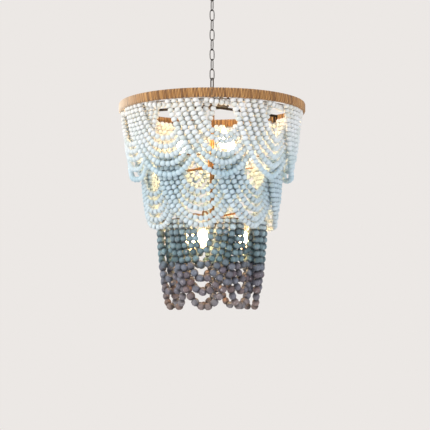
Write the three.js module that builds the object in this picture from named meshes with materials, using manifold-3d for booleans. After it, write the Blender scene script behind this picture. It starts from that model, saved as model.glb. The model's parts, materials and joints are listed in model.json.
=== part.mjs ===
// Beaded chandelier: a rope-wound rim and three tiers of bead swags, lit by six candle lamps and
// hung from a ceiling canopy on a chain. Millimetres, +Z up. The origin is the middle of the
// ceiling face, so everything hangs below z = 0. Bearings are turned from the -Y side towards +X.
import * as THREE from "three";
import { mergeVertices } from "three/addons/utils/BufferGeometryUtils.js";
import Module from "manifold-3d";

const wasm = await Module();
wasm.setup();

// Clearances and fineness shared by every piece
const gap = 0.3;
const overrun = 2;
const weldTolerance = 0.0005;
const roundSides = 12;
const broadSides = 24;
const wireSides = 5;

// Ceiling fixings
const strapLength = 100;
const strapWidth = 22;
const strapThickness = 3;
const slotSpacing = 70;
const slotLength = 12;
const slotWidth = 5;
const bossRadius = 9;
const bossDepth = 9;
const canopyRadius = 63.5;
const canopyDepth = 32;
const canopyLip = 5;
const canopyFlatRadius = 22;
const sheetThickness = 1.4;
const canopyArcSteps = 4;

// Threaded loop under the canopy, and the collar nut that holds the canopy up
const stemRadius = 5;
const threadRadius = 12;
const threadAboveCanopy = 6;
const threadBelowCanopy = 8;
const collarHeight = 8.5;
const collarWidth = 4.5;
const collarChamfer = 1.2;
const canopyLoopNeck = 4.5;
const canopyLoopRadius = 8.5;
const canopyLoopWire = 2.5;

// Chain
const linkCount = 9;
const linkInnerLength = 33.3;
const linkInnerWidth = 12;
const linkWire = 1.5;
const linkEndSteps = 4;

// Loop and turned coupling at the top of the fitting
const topLoopInnerLength = 30;
const topLoopInnerWidth = 14;
const topLoopWire = 2;
const couplingLength = 42;
const couplingRadius = 8;
const couplingFootRadius = 12;
const couplingFootHeight = 7;
const rodEngagement = 28;
const rodRadius = 5;

// Rim: a flat steel band wound with rope
const rimDiameter = 610;
const rimHeight = 30;
const ropeThickness = 5;
const ropeCorner = 3.5;
const bandInnerSpace = 1;
const bandThickness = 3;
const rimSegments = 36;

// Top spider, with the rail that carries the upper tier
const hubPlateRadius = 55;
const hubPlateThickness = 4;
const hubRadius = 14;
const hubHeight = 16;
const armHeight = 8;
const armWidth = 6;
const armTopBelowRim = 2;
const armBearing = 10;
const spiderArms = 3;
const railWire = 2;
const railBelowRope = 1;
const railInsideRope = 10;

// Bead strings
const cordHalfWidth = 0.6;
const cordSeat = 1.2;
const smallBeadRadius = 9;
const largeBeadRadius = 12.5;
const layerClearance = 1.3;
const fullWidthBelowRail = 22;
const smallBeadLead = 36;
const stringWidthShare = 0.88;
const topWidthShare = 0.58;
const stringStepLength = 105;
const fewestHalfSteps = 2;

// How far each tier hangs, how much it draws in at its foot, and its clearance to the next
const upperDrop = 224;
const middleDrop = 217;
const lowerDrop = 279;
const upperDrawInShare = 0.115;
const middleDrawInShare = 0.08;
const lowerDrawInShare = 0.1;
const midTierClearance = 4.5;
const lowTierClearance = 5;

// The hoops below the rim, and the spokes that hold them
const midRailBelowTop = 159;
const lowRailBelowMid = 192;
const spokeRadius = 3;
const ringHubHeight = 14;
const midSpokeBearing = -15.5;
const lowSpokeBearing = -4;
const sleeveWall = 2.5;

// Lamps
const lampCount = 3;
const upperLampRadius = 100;
const lowerLampClearance = 7.7;
const upperLampBearing = 22.5;
const lowerLampBearing = -16;
const lampHubHeight = 14;
const lampArmRadius = 3.5;
const lampArmDip = 16;
const lampArmSteps = 6;
const panRadius = 19;
const panThickness = 2.4;
const panRim = 4;
const socketRadius = 12;
const socketLength = 38;
const socketWall = 1.6;
const socketBoreDepth = 26;
const bulbBaseRadius = 7;
const bulbRadius = 17.5;
const bulbGlassLength = 74;
const bulbTipRadius = 2.2;
const lampSides = 10;

// Finial nut at the foot of the rod
const finialRadius = 15;
const finialLength = 26;
const finialTipRadius = 5;
const finialEngagement = 12;

// Shares of the lamp glass: height along it and width, base first
const bulbShares = [
  [0.02, 0.5],
  [0.14, 0.83],
  [0.32, 1.0],
  [0.5, 0.9],
  [0.68, 0.62],
  [0.85, 0.3],
];

const degree = Math.PI / 180;
const turn = 2 * Math.PI;

// Levels down the middle of the fitting
const canopyFloor = -canopyDepth;
const threadTop = canopyFloor + threadAboveCanopy;
const threadFoot = canopyFloor - threadBelowCanopy;
const canopyLoopCentre = threadFoot - canopyLoopNeck - canopyLoopRadius;
const firstPivot = canopyLoopCentre - canopyLoopRadius;
const linkDrop = linkInnerLength + linkWire;
const linkPivots = [firstPivot];
for (let i = 0; i < linkCount; i += 1) {
  const carrierWire = i === 0 ? canopyLoopWire : linkWire;
  linkPivots.push(linkPivots[i] + carrierWire + gap - linkDrop);
}
const fittingPivot = linkPivots[linkCount];
const topLoopTop = fittingPivot + linkWire + gap;
const topLoopCentre = topLoopTop - topLoopInnerLength / 2;
const couplingTop = topLoopTop - topLoopInnerLength - topLoopWire;
const couplingFoot = couplingTop - couplingLength;
const topHubTop = couplingFoot - gap;
const topHubFoot = topHubTop - hubHeight;
const armTop = topHubFoot + hubPlateThickness;
const rimTop = armTop + armTopBelowRim;
const rimFoot = rimTop - rimHeight;
const topRailLevel = rimFoot - railBelowRope;
const midRailLevel = topRailLevel - midRailBelowTop;
const lowRailLevel = midRailLevel - lowRailBelowMid;
const midHubTop = midRailLevel + ringHubHeight / 2;
const midHubFoot = midHubTop - ringHubHeight;
const upperLampHubTop = midHubFoot - gap;
const upperLampHubFoot = upperLampHubTop - lampHubHeight;
const lowHubTop = lowRailLevel + ringHubHeight / 2;
const lowHubFoot = lowHubTop - ringHubHeight;
const lowerLampHubFoot = lowHubTop + gap;
const lowerLampHubTop = lowerLampHubFoot + lampHubHeight;
const finialTop = lowHubFoot - gap;
const rodTop = couplingFoot + rodEngagement;
const rodFoot = finialTop - finialEngagement;

// Radii shared by pieces that meet
const ropeOuterRadius = rimDiameter / 2;
const bandOuterRadius = ropeOuterRadius - ropeThickness - bandInnerSpace;
const bandInnerRadius = bandOuterRadius - bandThickness;
const ropeInnerRadius = bandInnerRadius - ropeThickness - bandInnerSpace;
const bandTop = rimTop - ropeThickness - gap;
const bandFoot = rimFoot + ropeThickness + gap;
const topRailRadius = ropeInnerRadius - railInsideRope;
const smallReach = 2 * smallBeadRadius + layerClearance;
const largeReach = 2 * largeBeadRadius + layerClearance;
const upperFootRadius = topRailRadius * (1 - upperDrawInShare) - smallBeadRadius;
const midRailRadius = upperFootRadius - midTierClearance - smallReach;
const middleFootRadius = midRailRadius * (1 - middleDrawInShare) - smallBeadRadius;
const lowRailRadius = middleFootRadius - lowTierClearance - largeReach;
const lowerLampRadius = lowRailRadius - largeReach - bulbRadius - lowerLampClearance;
const rodBore = rodRadius + gap;
const sleeveRadius = rodBore + sleeveWall;
const collarBore = threadRadius + gap;

// The tiers: rail, groups round it, nested strands of each group, and how the strings draw in.
// Spans are shares of the bearing between two groups, drops are shares of the tier's own drop.
const tiers = [
  {
    name: "upper",
    railRadius: topRailRadius,
    railLevel: topRailLevel,
    groups: 9,
    firstBearing: 7.5,
    drop: upperDrop,
    spanShares: [0.325, 0.4375, 0.5475, 0.6575, 0.765, 0.875],
    dropShares: [0.12, 0.513, 0.625, 0.75, 0.866, 1],
    drawInShare: upperDrawInShare,
    crossShare: 0.2,
    beadRadius: smallBeadRadius,
  },
  {
    name: "middle",
    railRadius: midRailRadius,
    railLevel: midRailLevel,
    groups: 7,
    firstBearing: -10,
    drop: middleDrop,
    spanShares: [0.416, 0.511, 0.607, 0.702, 0.797],
    dropShares: [0.53, 0.645, 0.774, 0.9, 1],
    drawInShare: middleDrawInShare,
    crossShare: 0.175,
    beadRadius: smallBeadRadius,
  },
  {
    name: "lower",
    railRadius: lowRailRadius,
    railLevel: lowRailLevel,
    groups: 7,
    firstBearing: -9,
    drop: lowerDrop,
    spanShares: [0.195, 0.358, 0.519, 0.681, 0.842],
    dropShares: [0.376, 0.523, 0.677, 0.824, 1],
    drawInShare: lowerDrawInShare,
    crossShare: 0.125,
    beadRadius: largeBeadRadius,
  },
];

// Finishes
const bronze = new THREE.MeshStandardMaterial({ color: 0x4a4038, roughness: 0.45, metalness: 0.85 });
const steel = new THREE.MeshStandardMaterial({ color: 0x9a958c, roughness: 0.4, metalness: 0.9 });
const rope = new THREE.MeshStandardMaterial({ color: 0xc79a62, roughness: 0.95, metalness: 0 });
const porcelain = new THREE.MeshStandardMaterial({ color: 0xe9e4d8, roughness: 0.4, metalness: 0 });
const glass = new THREE.MeshStandardMaterial({ color: 0xfff1cf, roughness: 0.1, metalness: 0 });
const beadFinishes = {
  upper: new THREE.MeshStandardMaterial({ color: 0xe6e9ea, roughness: 0.7, metalness: 0 }),
  middle: new THREE.MeshStandardMaterial({ color: 0xc3d6dd, roughness: 0.7, metalness: 0 }),
  lower: new THREE.MeshStandardMaterial({ color: 0x5b717f, roughness: 0.7, metalness: 0 }),
};

const chandelier = new THREE.Group();

// Welds the corners, drops empty triangles and turns every face outwards
function closedGeometry(geometry) {
  const bare = geometry.clone();
  bare.deleteAttribute("normal");
  bare.deleteAttribute("uv");
  const welded = mergeVertices(bare, weldTolerance);
  const corners = welded.getAttribute("position");
  const old = welded.index.array;
  const kept = [];
  let volume = 0;
  for (let i = 0; i < old.length; i += 3) {
    const [a, b, c] = [old[i], old[i + 1], old[i + 2]];
    if (a !== b && b !== c && c !== a) {
      kept.push(a, b, c);
      const [pa, pb, pc] = [a, b, c].map((n) => new THREE.Vector3().fromBufferAttribute(corners, n));
      volume += pa.dot(pb.cross(pc)) / 6;
    }
  }
  if (volume < 0) {
    kept.reverse();
  }
  const closed = new THREE.BufferGeometry();
  closed.setAttribute("position", corners.clone());
  closed.setIndex(kept);
  return closed;
}

function toSolid(geometry) {
  const closed = closedGeometry(geometry);
  return new wasm.Manifold(
    new wasm.Mesh({
      numProp: 3,
      vertProperties: Float32Array.from(closed.getAttribute("position").array),
      triVerts: Uint32Array.from(closed.index.array),
    }),
  );
}

function fromSolid(solid) {
  const surface = solid.getMesh();
  const geometry = new THREE.BufferGeometry();
  geometry.setAttribute("position", new THREE.BufferAttribute(Float32Array.from(surface.vertProperties), 3));
  geometry.setIndex(Array.from(surface.triVerts));
  return geometry;
}

function join(...geometries) {
  return fromSolid(geometries.map(toSolid).reduce((whole, next) => whole.add(next)));
}

function cut(geometry, ...tools) {
  return fromSolid(tools.map(toSolid).reduce((whole, tool) => whole.subtract(tool), toSolid(geometry)));
}

// A turned piece: its outline is given as radius and height, and closes on itself or on the axis
function turned(outline, segments = roundSides) {
  const points = outline.map(([radius, height]) => new THREE.Vector2(radius, height));
  return closedGeometry(new THREE.LatheGeometry(points, segments).rotateX(Math.PI / 2));
}

// A turned ring or tube between two radii and two heights
function turnedRing(inner, outer, foot, top, segments = roundSides) {
  const outline = [[inner, foot], [outer, foot], [outer, top], [inner, top], [inner, foot]];
  return turned(outline, segments);
}

function turnedRod(radius, foot, top, segments = roundSides) {
  return turned([[0, foot], [radius, foot], [radius, top], [0, top]], segments);
}

// A wire hoop lying flat, its facets half inside and half outside the true circle
function wireHoop(radius, level, wire, segments) {
  const fit = 2 / (1 + Math.cos(Math.PI / segments));
  const outline = [];
  for (let i = 0; i <= wireSides; i += 1) {
    const angle = (i / wireSides) * turn;
    outline.push([radius * fit + wire * Math.cos(angle), level + wire * Math.sin(angle)]);
  }
  return turned(outline, segments);
}

// A skin through rings of corners, closed by end caps or by joining the last ring to the first
function skinThrough(rings, looped) {
  const sides = rings[0].length;
  const corners = rings.flat();
  const triangles = [];
  const last = looped ? rings.length : rings.length - 1;
  for (let i = 0; i < last; i += 1) {
    for (let j = 0; j < sides; j += 1) {
      const a = i * sides + j;
      const b = i * sides + ((j + 1) % sides);
      const c = ((i + 1) % rings.length) * sides + ((j + 1) % sides);
      const d = ((i + 1) % rings.length) * sides + j;
      triangles.push(a, b, c, a, c, d);
    }
  }
  if (!looped) {
    const end = (rings.length - 1) * sides;
    for (let j = 1; j < sides - 1; j += 1) {
      triangles.push(0, j + 1, j, end, end + j, end + j + 1);
    }
  }
  const geometry = new THREE.BufferGeometry();
  geometry.setAttribute("position", new THREE.Float32BufferAttribute(corners.flatMap((p) => p.toArray()), 3));
  geometry.setIndex(triangles);
  return closedGeometry(geometry);
}

// An oval eye of bent wire, standing in the XZ plane: two half rounds joined by straight sides
function wireEye(innerLength, innerWidth, wire, centre) {
  const bend = innerWidth / 2 + wire;
  const straight = innerLength / 2 + wire - bend;
  const rings = [];
  for (const end of [1, -1]) {
    for (let i = 0; i <= linkEndSteps; i += 1) {
      const angle = (i / linkEndSteps) * Math.PI;
      const out = new THREE.Vector3(end * Math.cos(angle), 0, end * Math.sin(angle));
      const middle = out.clone().multiplyScalar(bend);
      middle.z += centre + end * straight;
      const ring = [];
      for (let j = 0; j < wireSides; j += 1) {
        const round = (j / wireSides) * turn;
        const corner = middle.clone().addScaledVector(out, wire * Math.cos(round));
        corner.y += wire * Math.sin(round);
        ring.push(corner);
      }
      rings.push(ring);
    }
  }
  return skinThrough(rings, true);
}

function place(name, geometry, finish, bearing = 0, parent = chandelier) {
  const mesh = new THREE.Mesh(geometry, finish);
  mesh.geometry.computeVertexNormals();
  mesh.name = name;
  mesh.rotation.z = bearing * degree;
  parent.add(mesh);
  return mesh;
}

function roundAbout(count, first) {
  return Array.from({ length: count }, (_, i) => first + (i * 360) / count);
}

// A copy turned about the upright axis
function turnedTo(geometry, bearing) {
  return geometry.clone().rotateZ(bearing * degree);
}

// Ceiling strap: a slotted steel bar with a welded blind nut for the loop's stem
function ceilingStrap() {
  const half = strapLength / 2;
  const side = strapWidth / 2;
  const outline = new THREE.Shape();
  outline.moveTo(-half + side, -side);
  outline.lineTo(half - side, -side);
  outline.absarc(half - side, 0, side, -Math.PI / 2, Math.PI / 2, false);
  outline.lineTo(-half + side, side);
  outline.absarc(-half + side, 0, side, Math.PI / 2, (3 * Math.PI) / 2, false);
  for (const end of [-1, 1]) {
    const slot = new THREE.Path();
    const reach = slotLength / 2 - slotWidth / 2;
    const middle = (end * slotSpacing) / 2;
    slot.absarc(middle + reach, 0, slotWidth / 2, -Math.PI / 2, Math.PI / 2, false);
    slot.absarc(middle - reach, 0, slotWidth / 2, Math.PI / 2, (3 * Math.PI) / 2, false);
    slot.closePath();
    outline.holes.push(slot);
  }
  const bar = new THREE.ExtrudeGeometry(outline, { depth: strapThickness, bevelEnabled: false, curveSegments: wireSides });
  bar.translate(0, 0, -strapThickness);
  const nut = turnedRod(bossRadius, -strapThickness - bossDepth, -strapThickness / 2, wireSides);
  const thread = turnedRod(stemRadius + gap, -strapThickness - bossDepth - overrun, -strapThickness);
  return cut(join(bar, nut), thread);
}

// Canopy: a spun sheet dome with a straight lip, open to the ceiling, and a hole for the thread
function canopyShell() {
  const outline = [];
  const wall = (inset) => {
    const points = [];
    for (let i = 0; i <= canopyArcSteps; i += 1) {
      const angle = (i / canopyArcSteps) * (Math.PI / 2);
      const reach = canopyRadius - inset - canopyFlatRadius;
      const fall = canopyDepth - inset - canopyLip;
      points.push([canopyFlatRadius + reach * Math.cos(angle), -canopyLip - fall * Math.sin(angle)]);
    }
    return points;
  };
  outline.push([canopyRadius, -gap], ...wall(0), [collarBore, -canopyDepth]);
  outline.push([collarBore, -canopyDepth + sheetThickness], ...wall(sheetThickness).reverse());
  outline.push([canopyRadius - sheetThickness, -gap], [canopyRadius, -gap]);
  return turned(outline, broadSides);
}

// Threaded loop: stem into the strap's nut, wide thread through the canopy, neck and round eye
function canopyLoop() {
  const neckFoot = canopyLoopCentre + canopyLoopRadius;
  const shank = turned([
    [0, -strapThickness - gap],
    [stemRadius, -strapThickness - gap],
    [stemRadius, threadTop],
    [threadRadius, threadTop],
    [threadRadius, threadFoot],
    [stemRadius, threadFoot],
    [canopyLoopWire, neckFoot],
    [0, neckFoot],
  ]);
  const inner = 2 * (canopyLoopRadius - canopyLoopWire);
  return join(shank, wireEye(inner, inner, canopyLoopWire, canopyLoopCentre).rotateZ(Math.PI / 2));
}

// Collar nut: a chamfered ring on the wide thread, which the canopy rests on
function collarNut() {
  const top = canopyFloor - gap;
  const foot = top - collarHeight;
  const outer = collarBore + collarWidth;
  return turned([
    [collarBore, foot],
    [outer - collarChamfer, foot],
    [outer, foot + collarChamfer],
    [outer, top - collarChamfer],
    [outer - collarChamfer, top],
    [collarBore, top],
    [collarBore, foot],
  ]);
}

// Top loop: an oval eye on a turned coupling that is bored for the rod
function topLoop() {
  const eye = wireEye(topLoopInnerLength, topLoopInnerWidth, topLoopWire, topLoopCentre);
  const body = turned([
    [0, couplingTop + topLoopWire / 2],
    [topLoopWire * 2, couplingTop],
    [couplingRadius, couplingTop - couplingRadius],
    [couplingRadius, couplingFoot + couplingFootHeight],
    [couplingFootRadius, couplingFoot + couplingFootHeight / 2],
    [couplingFootRadius, couplingFoot],
    [0, couplingFoot],
  ]);
  const bore = turnedRod(rodBore, couplingFoot - overrun, rodTop + gap);
  return cut(join(eye.rotateZ(Math.PI / 2), body), bore);
}

// Top spider: hub and plate, three flat-bar arms out to the band, and the upper rail below them
function topSpider() {
  const hub = turned([
    [0, topHubFoot],
    [hubPlateRadius, topHubFoot],
    [hubPlateRadius, armTop],
    [hubRadius, armTop],
    [hubRadius, topHubTop],
    [0, topHubTop],
  ], broadSides);
  const reach = bandInnerRadius * Math.cos(Math.PI / rimSegments) - gap;
  const lugInner = topRailRadius - railWire;
  const lugOuter = topRailRadius + railWire;
  const armFoot = armTop - armHeight;
  const profile = new THREE.Shape();
  profile.moveTo(hubPlateRadius / 2, armTop);
  profile.lineTo(reach, armTop);
  profile.lineTo(reach, bandFoot);
  profile.lineTo(reach - bandThickness, bandFoot);
  profile.lineTo(reach - bandThickness, armFoot);
  profile.lineTo(lugOuter, armFoot);
  profile.lineTo(lugOuter, topRailLevel);
  profile.lineTo(lugInner, topRailLevel);
  profile.lineTo(lugInner, armFoot);
  profile.lineTo(hubPlateRadius / 2, armFoot);
  profile.closePath();
  const arm = new THREE.ExtrudeGeometry(profile, { depth: armWidth, bevelEnabled: false });
  arm.translate(0, 0, -armWidth / 2).rotateX(Math.PI / 2).rotateZ(-Math.PI / 2);
  const arms = roundAbout(spiderArms, armBearing).map((bearing) => turnedTo(arm, bearing));
  const rail = wireHoop(topRailRadius, topRailLevel, railWire, rimSegments);
  const bore = turnedRod(rodBore, topHubFoot - overrun, topHubTop + overrun);
  return cut(join(hub, rail, ...arms), bore);
}

// Rim band: a flat steel hoop
function rimBand() {
  return turnedRing(bandInnerRadius, bandOuterRadius, bandFoot, bandTop, rimSegments);
}

// Rope winding: a rounded sleeve all round the band, parted only where the spider's arms pass
function ropeWrap() {
  const [inner, outer, corner] = [ropeInnerRadius, ropeOuterRadius, ropeCorner];
  const sleeve = turned([
    [inner, rimFoot + corner],
    [inner + corner, rimFoot],
    [outer - corner, rimFoot],
    [outer, rimFoot + corner],
    [outer, rimTop - corner],
    [outer - corner, rimTop],
    [inner + corner, rimTop],
    [inner, rimTop - corner],
    [inner, rimFoot + corner],
  ], rimSegments);
  const space = turnedRing(bandInnerRadius - gap, bandOuterRadius + gap, bandFoot - gap, bandTop + gap, rimSegments);
  const notchDepth = bandInnerRadius - inner + overrun;
  const notchHeight = armTop + gap - (bandFoot - gap);
  const notch = new THREE.BoxGeometry(armWidth + 2 * gap, notchDepth, notchHeight);
  notch.translate(0, -(inner - overrun + notchDepth / 2), bandFoot - gap + notchHeight / 2);
  const notches = roundAbout(spiderArms, armBearing).map((bearing) => turnedTo(notch, bearing));
  return cut(sleeve, space, ...notches);
}

// A hoop on three round spokes from a bored hub
function spokedHoop(radius, level, bearing) {
  const hub = turnedRod(hubRadius, level - ringHubHeight / 2, level + ringHubHeight / 2);
  const spoke = new THREE.CylinderGeometry(spokeRadius, spokeRadius, radius, wireSides);
  spoke.translate(0, -radius / 2, 0).translate(0, 0, level);
  const spokes = roundAbout(spiderArms, bearing).map((angle) => turnedTo(spoke, angle));
  const bore = turnedRod(rodBore, level - ringHubHeight, level + ringHubHeight);
  return cut(join(hub, wireHoop(radius, level, railWire, rimSegments), ...spokes), bore);
}

// Lamp arms: a bored hub, three swept arms and a drip pan on the end of each.
// The arm leaves the hub level, dips away from the lamp and turns up into its pan.
function lampArms(hubFoot, armLength, bearing, upright) {
  const middle = hubFoot + lampHubHeight / 2;
  const hub = turnedRod(hubRadius, hubFoot, hubFoot + lampHubHeight);
  const panLevel = middle + (upright * lampHubHeight) / 2;
  const path = new THREE.CubicBezierCurve3(
    new THREE.Vector3(0, -hubRadius / 2, middle),
    new THREE.Vector3(0, -armLength / 2, middle),
    new THREE.Vector3(0, -armLength, middle - upright * lampArmDip * 2),
    new THREE.Vector3(0, -armLength, panLevel + (upright * panThickness) / 2),
  );
  const section = new THREE.Shape();
  section.moveTo(lampArmRadius, 0);
  for (let i = 1; i < wireSides; i += 1) {
    const angle = (i / wireSides) * turn;
    section.lineTo(lampArmRadius * Math.cos(angle), lampArmRadius * Math.sin(angle));
  }
  section.closePath();
  const arm = new THREE.ExtrudeGeometry(section, {
    extrudePath: path,
    steps: lampArmSteps,
    bevelEnabled: false,
  });
  const [foot, face] = [panLevel, panLevel + upright * panThickness];
  const lip = face + upright * panRim;
  const pan = turned([
    [0, foot],
    [panRadius - panRim, foot],
    [panRadius, lip],
    [panRadius - panThickness, lip],
    [panRadius - panRim - panThickness, face],
    [0, face],
  ], lampSides);
  pan.translate(0, -armLength, 0);
  const lamps = roundAbout(lampCount, bearing);
  const bore = turnedRod(rodBore, hubFoot - overrun, hubFoot + lampHubHeight + overrun);
  const limbs = lamps.flatMap((angle) => [turnedTo(arm, angle), turnedTo(pan, angle)]);
  return { geometry: cut(join(hub, ...limbs), bore), seat: face + upright * gap };
}

// Lamp holder: a candle sleeve, closed at the foot and bored for the lamp's cap
function socketBody() {
  const [bore, floor] = [bulbBaseRadius + gap, socketLength - socketBoreDepth];
  return turned([
    [0, 0],
    [socketRadius, 0],
    [socketRadius, socketLength - socketWall],
    [socketRadius - socketWall, socketLength],
    [bore, socketLength],
    [bore, floor],
    [0, floor],
  ], lampSides);
}

// Candle lamp: a screw cap and a blown glass that swells and draws out to a tip
function bulbBody() {
  const foot = socketLength - socketBoreDepth + gap;
  const shoulder = socketLength + gap;
  const outline = [[0, foot], [bulbBaseRadius, foot], [bulbBaseRadius, shoulder]];
  for (const [rise, width] of bulbShares) {
    outline.push([bulbRadius * width, shoulder + bulbGlassLength * rise]);
  }
  const tip = shoulder + bulbGlassLength;
  outline.push([bulbTipRadius, tip], [0, tip + bulbTipRadius]);
  return turned(outline, lampSides);
}

// Puts three holders and three lamps round a set of arms, standing up or hanging down
function placeLamps(level, seat, armLength, bearing, upright) {
  const socket = socketBody();
  const bulb = bulbBody();
  roundAbout(lampCount, bearing).forEach((angle, i) => {
    const stand = new THREE.Group();
    stand.rotation.z = angle * degree;
    const foot = new THREE.Group();
    foot.position.set(0, -armLength, seat);
    foot.rotation.x = upright > 0 ? 0 : Math.PI;
    stand.add(foot);
    chandelier.add(stand);
    place(`${level}_socket_${i + 1}`, socket.clone(), porcelain, 0, foot);
    place(`${level}_bulb_${i + 1}`, bulb.clone(), glass, 0, foot);
  });
}

// Finial: a turned nut with a blind thread, which clamps the stack of hubs on the rod
function finialNut() {
  const waist = finialTop - finialLength / 2;
  const body = turned([
    [0, finialTop],
    [finialRadius, finialTop],
    [finialRadius, finialTop - finialTipRadius],
    [finialRadius - finialTipRadius, waist],
    [finialTipRadius, finialTop - finialLength + finialTipRadius],
    [0, finialTop - finialLength],
  ]);
  return cut(body, turnedRod(rodBore, rodFoot - gap, finialTop + overrun));
}

// Length that gives a hanging curve the wanted drop over half its width, found by halving
function hangScale(halfWidth, drop) {
  let [low, high] = [halfWidth / 50, (halfWidth * halfWidth) / drop + drop];
  for (let i = 0; i < 60; i += 1) {
    const middle = (low + high) / 2;
    const fall = middle * (Math.cosh(halfWidth / middle) - 1);
    [low, high] = fall > drop ? [middle, high] : [low, middle];
  }
  return (low + high) / 2;
}

// One string of a group, as a function of the share of its half length from its lowest point.
// Its left leg hangs outside the rail and its right leg inside, and it crosses over at its foot.
function strandCurve(tier, span, drop) {
  const halfWidth = tier.railRadius * span;
  const scale = hangScale(halfWidth, drop);
  const halfLength = scale * Math.sinh(halfWidth / scale);
  const layer = tier.beadRadius + layerClearance;
  const crossing = (tier.crossShare * turn) / tier.groups;
  const at = (share) => {
    const along = share * halfLength;
    const fall = drop - (Math.hypot(scale, along) - scale);
    const bearing = (scale * Math.asinh(along / scale)) / tier.railRadius;
    const cross = Math.max(-1, Math.min(1, bearing / crossing));
    const offset = -layer * cross * (3 - cross * cross) / 2;
    const drawIn = tier.drawInShare * (fall / tier.drop) ** 2;
    const radius = tier.railRadius * (1 - drawIn) + offset;
    return new THREE.Vector3(
      radius * Math.sin(bearing),
      -radius * Math.cos(bearing),
      tier.railLevel - fall,
    );
  };
  const reach = drop - fullWidthBelowRail + scale;
  const topShare = Math.sqrt(reach ** 2 - scale ** 2) / halfLength;
  return { at, topShare, halfLength, bearing: span };
}

// A square ring of corners round a point of a string, its flat sides facing in and out
function stringRing(point, ahead, halfWidth) {
  const out = new THREE.Vector3(point.x, point.y, 0).normalize();
  out.addScaledVector(ahead, -out.dot(ahead)).normalize();
  const across = new THREE.Vector3().crossVectors(ahead, out);
  return [[1, 1], [-1, 1], [-1, -1], [1, -1]].map(([a, b]) =>
    point.clone().addScaledVector(out, a * halfWidth).addScaledVector(across, b * halfWidth));
}

// Where the cord passes over the rail: on its outer shoulder (side 1) or its inner one (side -1)
function overRail(tier, bearing, side) {
  const clear = (railWire + cordHalfWidth * Math.SQRT2 + cordSeat) * Math.SQRT1_2;
  const radius = tier.railRadius + side * clear;
  const point = new THREE.Vector3(
    radius * Math.sin(bearing),
    -radius * Math.cos(bearing),
    tier.railLevel + clear,
  );
  return { point, halfWidth: cordHalfWidth };
}

// A swag: one group of nested strings on one cord, which passes over the rail between them.
// Every other string is followed from right to left.
function swag(tier) {
  const spacing = turn / tier.groups;
  const strands = tier.spanShares.map((share, n) =>
    strandCurve(tier, share * spacing, tier.drop * tier.dropShares[n]));
  const stops = [overRail(tier, -strands[0].bearing, 1)];
  strands.forEach((strand, n) => {
    const way = n % 2 === 0 ? 1 : -1;
    const half = Math.max(fewestHalfSteps, Math.ceil(strand.halfLength / stringStepLength));
    for (let i = -half; i <= half; i += 1) {
      const ease = (i / half) * (1 + Math.abs(i) / half) / 2;
      const point = strand.at(way * strand.topShare * ease);
      const small = tier.railLevel - point.z < smallBeadLead;
      const beadRadius = small ? smallBeadRadius : tier.beadRadius;
      const widthShare = Math.abs(i) === half ? topWidthShare : stringWidthShare;
      stops.push({ point, halfWidth: widthShare * beadRadius });
    }
    const next = strands[n + 1] ?? strand;
    stops.push(overRail(tier, (way * (strand.bearing + next.bearing)) / 2, -way));
  });
  const rings = stops.map(({ point, halfWidth }, i) => {
    const before = stops[Math.max(0, i - 1)].point;
    const after = stops[Math.min(stops.length - 1, i + 1)].point;
    return stringRing(point, after.clone().sub(before).normalize(), halfWidth);
  });
  return skinThrough(rings, false);
}

place("ceiling_strap", ceilingStrap(), steel);
place("canopy", canopyShell(), bronze);
place("canopy_loop", canopyLoop(), bronze);
place("collar_nut", collarNut(), bronze);

for (let i = 0; i < linkCount; i += 1) {
  const centre = linkPivots[i + 1] + linkWire + linkInnerLength / 2;
  const link = wireEye(linkInnerLength, linkInnerWidth, linkWire, centre);
  place(`chain_link_${i + 1}`, link, bronze, i % 2 === 0 ? 0 : 90);
}

place("top_loop", topLoop(), bronze);
place("top_spider", topSpider(), bronze);
place("rim_band", rimBand(), steel);
place("rope_wrap", ropeWrap(), rope);
place("centre_rod", turnedRod(rodRadius, rodFoot, rodTop), steel);
place("upper_sleeve", turnedRing(rodBore, sleeveRadius, midHubTop + gap, topHubFoot - gap), bronze);
place("lower_sleeve", turnedRing(rodBore, sleeveRadius, lowerLampHubTop + gap, upperLampHubFoot - gap), bronze);
place("middle_hoop", spokedHoop(midRailRadius, midRailLevel, midSpokeBearing), bronze);
place("lower_hoop", spokedHoop(lowRailRadius, lowRailLevel, lowSpokeBearing), bronze);
place("finial", finialNut(), bronze);

const upperArms = lampArms(upperLampHubFoot, upperLampRadius, upperLampBearing, 1);
const lowerArms = lampArms(lowerLampHubFoot, lowerLampRadius, lowerLampBearing, -1);
place("upper_lamp_arms", upperArms.geometry, bronze);
place("lower_lamp_arms", lowerArms.geometry, bronze);
placeLamps("upper", upperArms.seat, upperLampRadius, upperLampBearing, 1);
placeLamps("lower", lowerArms.seat, lowerLampRadius, lowerLampBearing, -1);

for (const tier of tiers) {
  const shape = swag(tier);
  roundAbout(tier.groups, tier.firstBearing).forEach((bearing, i) => {
    place(`${tier.name}_swag_${i + 1}`, shape.clone(), beadFinishes[tier.name], bearing);
  });
}

export default chandelier;
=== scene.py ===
import json
import math
import random

import bpy
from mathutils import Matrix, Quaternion, Vector


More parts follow.
